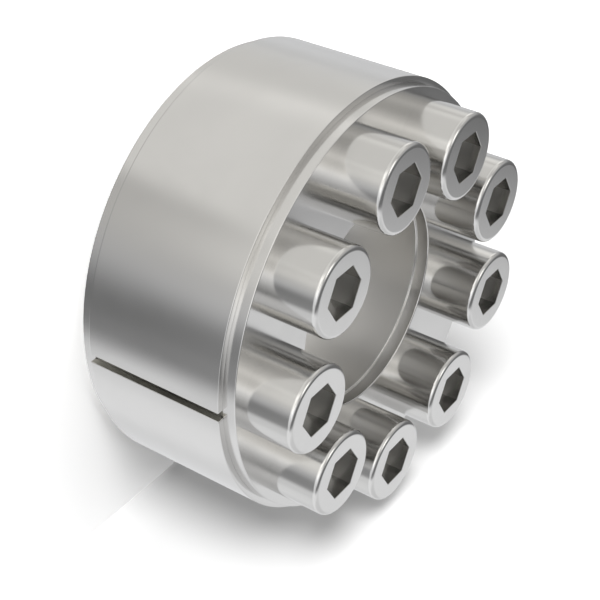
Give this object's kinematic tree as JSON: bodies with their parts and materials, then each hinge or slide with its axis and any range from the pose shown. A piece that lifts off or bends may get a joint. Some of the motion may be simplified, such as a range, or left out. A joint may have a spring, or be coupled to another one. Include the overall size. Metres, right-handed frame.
{
  "type": "shaft locking assembly",
  "caption": "Keyless shaft and hub lock: a ring of socket head screws draws two tapered rings together between a slit outer ring and a slit inner ring.",
  "frame": {"origin": "middle of the rear face, on the shaft axis", "axes": "+Z along the shaft axis, out of the screw heads; +X through both slits and screw_1"},
  "size_m": [0.05, 0.05, 0.026],
  "materials": {
    "ring_steel": "fine turned, satin",
    "screw_steel": "smooth satin"
  },
  "bodies": {
    "rear_rings": {"rear_pressure_ring": "ring_steel", "outer_ring": "ring_steel", "inner_ring": "ring_steel"},
    "front_ring": {"front_pressure_ring": "ring_steel"},
    "screw_1": {"screw_1": "screw_steel"},
    "screw_2": {"screw_2": "screw_steel"},
    "screw_3": {"screw_3": "screw_steel"},
    "screw_4": {"screw_4": "screw_steel"},
    "screw_5": {"screw_5": "screw_steel"},
    "screw_6": {"screw_6": "screw_steel"},
    "screw_7": {"screw_7": "screw_steel"},
    "screw_8": {"screw_8": "screw_steel"},
    "screw_9": {"screw_9": "screw_steel"}
  },
  "joints": [
    {"name": "front_ring_slide", "type": "slide", "parent": "rear_rings", "child": "front_ring", "axis": [0, 0, 1], "range_m": [0, 0.006]},
    {"name": "screw_1_turn", "type": "hinge", "parent": "front_ring", "child": "screw_1", "pos_m": [0.01825, 0, 0.02], "axis": [0, 0, 1], "range_deg": [0, 2160]},
    {"name": "screw_2_turn", "type": "hinge", "parent": "front_ring", "child": "screw_2", "pos_m": [0.01398, 0.01173, 0.02], "axis": [0, 0, 1], "range_deg": [0, 2160]},
    {"name": "screw_3_turn", "type": "hinge", "parent": "front_ring", "child": "screw_3", "pos_m": [0.00317, 0.01797, 0.02], "axis": [0, 0, 1], "range_deg": [0, 2160]},
    {"name": "screw_4_turn", "type": "hinge", "parent": "front_ring", "child": "screw_4", "pos_m": [-0.00912, 0.0158, 0.02], "axis": [0, 0, 1], "range_deg": [0, 2160]},
    {"name": "screw_5_turn", "type": "hinge", "parent": "front_ring", "child": "screw_5", "pos_m": [-0.01715, 0.00624, 0.02], "axis": [0, 0, 1], "range_deg": [0, 2160]},
    {"name": "screw_6_turn", "type": "hinge", "parent": "front_ring", "child": "screw_6", "pos_m": [-0.01715, -0.00624, 0.02], "axis": [0, 0, 1], "range_deg": [0, 2160]},
    {"name": "screw_7_turn", "type": "hinge", "parent": "front_ring", "child": "screw_7", "pos_m": [-0.00912, -0.0158, 0.02], "axis": [0, 0, 1], "range_deg": [0, 2160]},
    {"name": "screw_8_turn", "type": "hinge", "parent": "front_ring", "child": "screw_8", "pos_m": [0.00317, -0.01797, 0.02], "axis": [0, 0, 1], "range_deg": [0, 2160]},
    {"name": "screw_9_turn", "type": "hinge", "parent": "front_ring", "child": "screw_9", "pos_m": [0.01398, -0.01173, 0.02], "axis": [0, 0, 1], "range_deg": [0, 2160]}
  ],
  "couplings": [
    {"joint": "screw_1_turn", "follows": "front_ring_slide", "rad_per_m": 6283.2},
    {"joint": "screw_2_turn", "follows": "front_ring_slide", "rad_per_m": 6283.2},
    {"joint": "screw_3_turn", "follows": "front_ring_slide", "rad_per_m": 6283.2},
    {"joint": "screw_4_turn", "follows": "front_ring_slide", "rad_per_m": 6283.2},
    {"joint": "screw_5_turn", "follows": "front_ring_slide", "rad_per_m": 6283.2},
    {"joint": "screw_6_turn", "follows": "front_ring_slide", "rad_per_m": 6283.2},
    {"joint": "screw_7_turn", "follows": "front_ring_slide", "rad_per_m": 6283.2},
    {"joint": "screw_8_turn", "follows": "front_ring_slide", "rad_per_m": 6283.2},
    {"joint": "screw_9_turn", "follows": "front_ring_slide", "rad_per_m": 6283.2}
  ]
}
